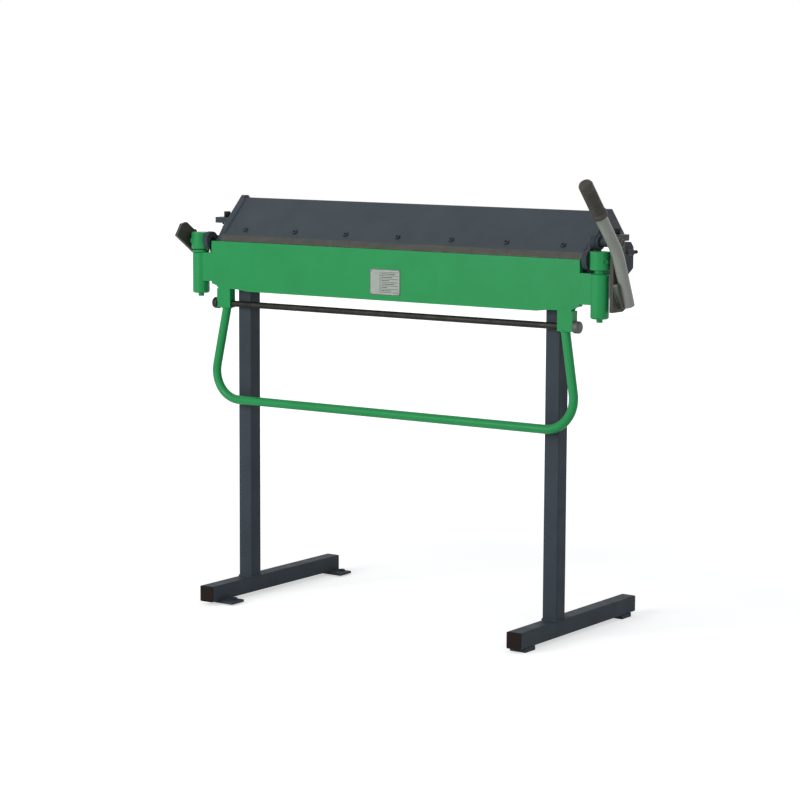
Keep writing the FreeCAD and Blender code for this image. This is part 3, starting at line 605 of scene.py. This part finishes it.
# The screws stand square to the slope, with painted heads. Black washers under them and dark discs in
# their sockets, 6 mm across, are painted shade round and inside the heads.
slope_out = Vector((0, -1, 1)).normalized()
strip_screw_y, strip_screw_z, strip_screw_step, strip_screw_end = 45, 896.8, 150, 450
strip_places = [spot(x, strip_screw_y, strip_screw_z)
                for x in range(-strip_screw_end, strip_screw_end + 1, strip_screw_step)]
head_shape = [(5.7, -1), (5.7, 3.5), (5.3, 4.1), (4.8, 4.3), (3.9, 4.3), (3.6, 4.1, 6.1), (3.6, 1.4, 6.1)]
shade_washer_shape = [(6.5, -0.3), (6.7, 0.1), (6.7, 0.8), (6.4, 1.0)]
shade_socket_shape = [(3.5, 1.2), (3.5, 1.8, 6.0)]
strip_heads = [turned(head_shape, place, slope_out, sides=48) for place in strip_places]
piece("strip_screw_heads", strip_heads, beam_enamel, "clamping_beam")
strip_shade_rings = [turned(shade_washer_shape, place, slope_out) for place in strip_places]
strip_shade_rings += [turned(shade_socket_shape, place, slope_out, sides=48) for place in strip_places]
piece("strip_screw_shade_washers", strip_shade_rings, bolt_black, "clamping_beam")
# A broad bead lies in the corner of each end plate with the front slope, and a narrow one behind the ridge
front_bead_x, front_bead_foot, front_bead_head = 510, (37.6, 886.8), (117, 966.2)
back_bead_x, back_bead_head, back_bead_foot = 510.6, (129, 970.6), (184, 916)
beam_welds = []
for side in (-1, 1):
    beam_welds += [seam(side * front_bead_x, front_bead_foot, front_bead_head, width=10.4),
                   seam(side * back_bead_x, back_bead_head, back_bead_foot, width=3.6)]
piece("beam_welds", beam_welds, beam_enamel, "clamping_beam")

# Clamping strip: the bevelled bar that presses the sheet on the bed, of ground tool steel like the edge bar,
# held by the screws in the beam's front plate.
dress(tool_steel, "tool_steel", "clamping_strip")

# Lift lugs, bolts and springs: a lug welded on each end plate, a knurled socket screw through lug and seat,
# a coil spring of black wire between them, and a nut on the screw's tail, low enough for the beam to rise.
dress(beam_enamel, "beam_grey", "lift_lugs")
# Beads run above and below each lug, and a short one up its front end
lug_face, lug_front, lug_back, lug_under, lug_top = 523.2, 84, 120, 908.2, 922.8
lug_end, lug_end_low, lug_end_high = 81.8, 910, 921
lug_welds = []
for side in (-1, 1):
    lug_welds += [seam(side * lug_face, (lug_front, z), (lug_back, z), width=4.5)
                  for z in (lug_under, lug_top)]
    lug_welds.append(seam(side * lug_face, (lug_end, lug_end_low), (lug_end, lug_end_high), width=4.5))
piece("lug_welds", lug_welds, beam_enamel, "clamping_beam")
# Radii and heights of the knurled head, whose socket is 8 mm across, of the shank, the thread and the nut
lift_x, lift_y, lift_socket, lift_flats = 553, 102, 8, 15
thread_radius, thread_pitch, thread_low, thread_high = 4.6, 1.5, 850.6, 861.4
lift_head = [(7.4, 922.5), (8.0, 923.0), (8.0, 935.4), (7.4, 936.3), (4.8, 936.5), (4.6, 936.2, lift_socket),
             (4.6, 930.5, lift_socket)]
lift_shank = [(4.9, 861), (4.9, 923)]
lift_tail = [(3.4, 849.5), (4.4, 850.4), (4.4, 851)]
lift_nut = [(7.4, 851.5), (8.1, 851.7, lift_flats), (8.7, 852.3, lift_flats), (8.7, 855.9, lift_flats),
            (8.1, 856.6, lift_flats), (7.4, 856.8)]
# Every second line of the head's side is pressed in by a tenth of the radius
knurl_lines, knurl_depth = 72, 0.1
lift_bolts = []
for side in (-1, 1):
    bolt_at = spot(side * lift_x, lift_y, 0)
    head = turned(lift_head, bolt_at, up, sides=knurl_lines)
    for ring in head[1:3]:
        for k in range(0, knurl_lines, 2):
            axis = Vector((bolt_at.x, bolt_at.y, ring[k].z))
            ring[k] = ring[k] + (axis - ring[k]) * knurl_depth
    lift_bolts += [head, turned(lift_shank, bolt_at, up), turned(lift_tail, bolt_at, up),
                   thread(thread_radius, thread_pitch, thread_low, thread_high, bolt_at, up),
                   turned(lift_nut, bolt_at, up, sides=48)]
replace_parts(piece("lift_screws", lift_bolts, bolt_black, "clamping_beam"), "lift_bolts")
# Hard-drawn spring wire is black with a soft sheen, mottled about every 3 mm
spring_steel = steel("black_spring_wire", "#43453f", "#2c2e29", 0.4, (3, 3, 3), 0.1)
dress(spring_steel, "fasteners", "lift_springs")

# Clamping lever: a flame-cut plate welded on a painted turned shaft, and on the plate's outer face a bent
# tube and a curved shoe. Plate and shoe keep a thin dull coat, and the tube is coated light grey.
dress(stand_enamel, "fasteners", "lever_shaft")
plate_skin = stoved_enamel("dull_coated_lever_plate", "#47463f", "#3c3b35", "#504e46", 0.55)
dress(plate_skin, "blackened_steel", "lever_plate")
tube_coat = stoved_enamel("light_grey_coated_tube", "#898e86", "#80857d", "#9ba097", 0.3, ior=1.5)
dress(tube_coat, "grey_tube", "lever_tube")
# The shoe's pale rim colour is partly worn paint and partly a painted highlight along its edges
shoe_coat = stoved_enamel("dark_shoe_coat_worn_and_lit_edges", "#4c5148", "#40453c", "#868b81", 0.36, ior=1.5)
dress(shoe_coat, "grey_tube", "lever_shoe")
# Beads lie along both sides of the tube's foot, inside the shoe's curve, and round both ends of the shaft
tube_angle = math.radians(24)
tube_way = Vector((0, -math.sin(tube_angle), math.cos(tube_angle)))
tube_across = Vector((0, math.cos(tube_angle), math.sin(tube_angle)))
tube_foot = spot(603.4, 53, 770.5)
tube_weld_off, tube_weld_start, tube_weld_end = 9.8, 4, 60
lever_welds = []
for off in (-tube_weld_off, tube_weld_off):
    weld_line = tube_foot + tube_across * off / 1000
    lever_welds.append(bead([weld_line + tube_way * tube_weld_start / 1000,
                             weld_line + tube_way * tube_weld_end / 1000], width=5.0))
shoe_face, shoe_y, shoe_z, shoe_radius = 602.2, 111.5, 841.5, 108.2
shoe_start, shoe_turn = 197, 20
shoe_line = [spot(shoe_face, shoe_y + shoe_radius * math.cos(a), shoe_z + shoe_radius * math.sin(a))
             for a in (math.radians(shoe_start + k) for k in range(shoe_turn))]
lever_welds.append(bead(shoe_line, width=3.6))
for shaft_x, radius, width in ((592.3, 10.2, 4.0), (601.4, 8.6, 3.0)):
    lever_welds.append(bead(ring_across(shaft_x, shaft_y, shaft_z, radius), width, closed=True))
piece("lever_welds", lever_welds, shoe_coat, "clamp_lever")

# Grip: a ribbed sleeve of soft PVC, dipped or moulded, stretched over the lever's tube. It is dull, with the
# brown cast of aged black plastic, and painted shade darkens it between its ribs.
grip_vinyl = bare_material("aged_black_soft_pvc")
grip_place = add(grip_vinyl, "ShaderNodeTexCoord").outputs["Object"]
# The faded cloud in the tone is about 18 mm across
grip_cloud = add(grip_vinyl, "ShaderNodeTexNoise", {"Scale": 1000 / 18, "Detail": 4.0}, {
    "Vector": grip_place})
grip_tone = add(grip_vinyl, "ShaderNodeValToRGB", links={"Fac": grip_cloud.outputs[0]})
grip_tone.color_ramp.elements[0].position = 0.35
grip_tone.color_ramp.elements[0].color = linear("#322f28")
grip_tone.color_ramp.elements[1].position = 0.65
grip_tone.color_ramp.elements[1].color = linear("#3f3c33")
# The skin's grain is finer than 1 mm, drawn at 2 mm so that it shows
grip_grain = add(grip_vinyl, "ShaderNodeTexNoise", {"Scale": 1000 / 2, "Detail": 2.0}, {
    "Vector": grip_place})
grip_soft = add(grip_vinyl, "ShaderNodeBevel", {"samples": 6, "Radius": 0.0006})
grip_bump = add(grip_vinyl, "ShaderNodeBump", {"Strength": 0.2, "Distance": 0.0003}, {
    "Height": grip_grain.outputs[0], "Normal": grip_soft.outputs[0]})
# Painted shade darkens the hollows between the ribs, which are up to 4 mm wide
grip_open = add(grip_vinyl, "ShaderNodeAmbientOcclusion", {"samples": 8, "Distance": 0.004})
grip_shade_mask = add(grip_vinyl, "ShaderNodeMapRange", {"From Min": 0.45, "From Max": 0.85}, {
    "Value": grip_open.outputs["AO"]})
grip_painted_shade = add(grip_vinyl, "ShaderNodeMix", {"data_type": "RGBA", 6: linear("#1d1712")}, {
    0: grip_shade_mask.outputs[0], 7: grip_tone.outputs[0]})
grip_shader = add(grip_vinyl, "ShaderNodeBsdfPrincipled", {"Roughness": 0.55, "IOR": 1.42}, {
    "Base Color": grip_painted_shade.outputs[2], "Normal": grip_bump.outputs[0]})
add(grip_vinyl, "ShaderNodeOutputMaterial", links={"Surface": grip_shader.outputs[0]})
dress(grip_vinyl, "black_plastic", "lever_grip")
